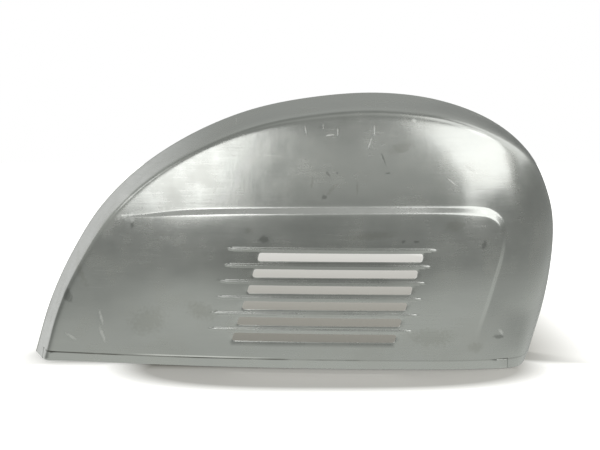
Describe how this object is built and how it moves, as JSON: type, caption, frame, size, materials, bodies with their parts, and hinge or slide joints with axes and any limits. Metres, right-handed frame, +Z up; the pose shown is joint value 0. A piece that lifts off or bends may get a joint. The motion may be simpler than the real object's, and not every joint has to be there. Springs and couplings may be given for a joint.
{
  "type": "scooter engine side cowl",
  "caption": "Bare pressed-steel scooter side cowl with louvred panel, rim flange, top hook, tail peg and sprung swing catch.",
  "frame": {"origin": "middle of the bounding box in plan, on the ground under the lower edge", "axes": "+X to the front of the scooter (the blunt end), +Y towards the scooter's frame, +Z up"},
  "size_m": [0.7256, 0.198, 0.3624],
  "materials": {
    "bare_steel": "bare pressed sheet steel, rubbed down by hand",
    "bracket_steel": "bare spot-welded sheet steel",
    "zinc_plate": "zinc plated steel",
    "spring_steel": "oiled spring steel",
    "rubber": "moulded black rubber"
  },
  "bodies": {
    "cowl": {"cowl_skin": "bare_steel", "lower_edge_strip": "bare_steel", "rim_reinforcement": "bracket_steel", "tail_gusset": "bracket_steel", "front_gusset": "bracket_steel", "top_bracket": "bracket_steel", "tail_bracket": "bracket_steel", "latch_bracket": "bracket_steel", "top_hook": "zinc_plate", "hook_bolt_rear": "zinc_plate", "hook_nut_rear": "zinc_plate", "hook_bolt_front": "zinc_plate", "hook_nut_front": "zinc_plate", "tail_peg": "zinc_plate", "tail_peg_nut": "zinc_plate", "latch_pivot": "zinc_plate", "latch_spacer": "zinc_plate", "latch_spring_post": "zinc_plate", "latch_washer": "zinc_plate", "latch_spring": "spring_steel", "latch_clip": "spring_steel", "tail_buffer": "rubber", "rim_buffer_1": "rubber", "rim_buffer_2": "rubber", "rim_buffer_3": "rubber", "rim_buffer_4": "rubber"},
    "catch": {"latch_catch": "zinc_plate"}
  },
  "joints": [
    {"name": "catch_swing", "type": "hinge", "parent": "cowl", "child": "catch", "pos_m": [0.30124, 0.0816, 0.05], "axis": [0, 1, 0], "range_deg": [0, 50], "stiffness_Nm_per_rad": 0.45, "springref_deg": -34.38, "deforming": ["latch_spring"]}
  ]
}
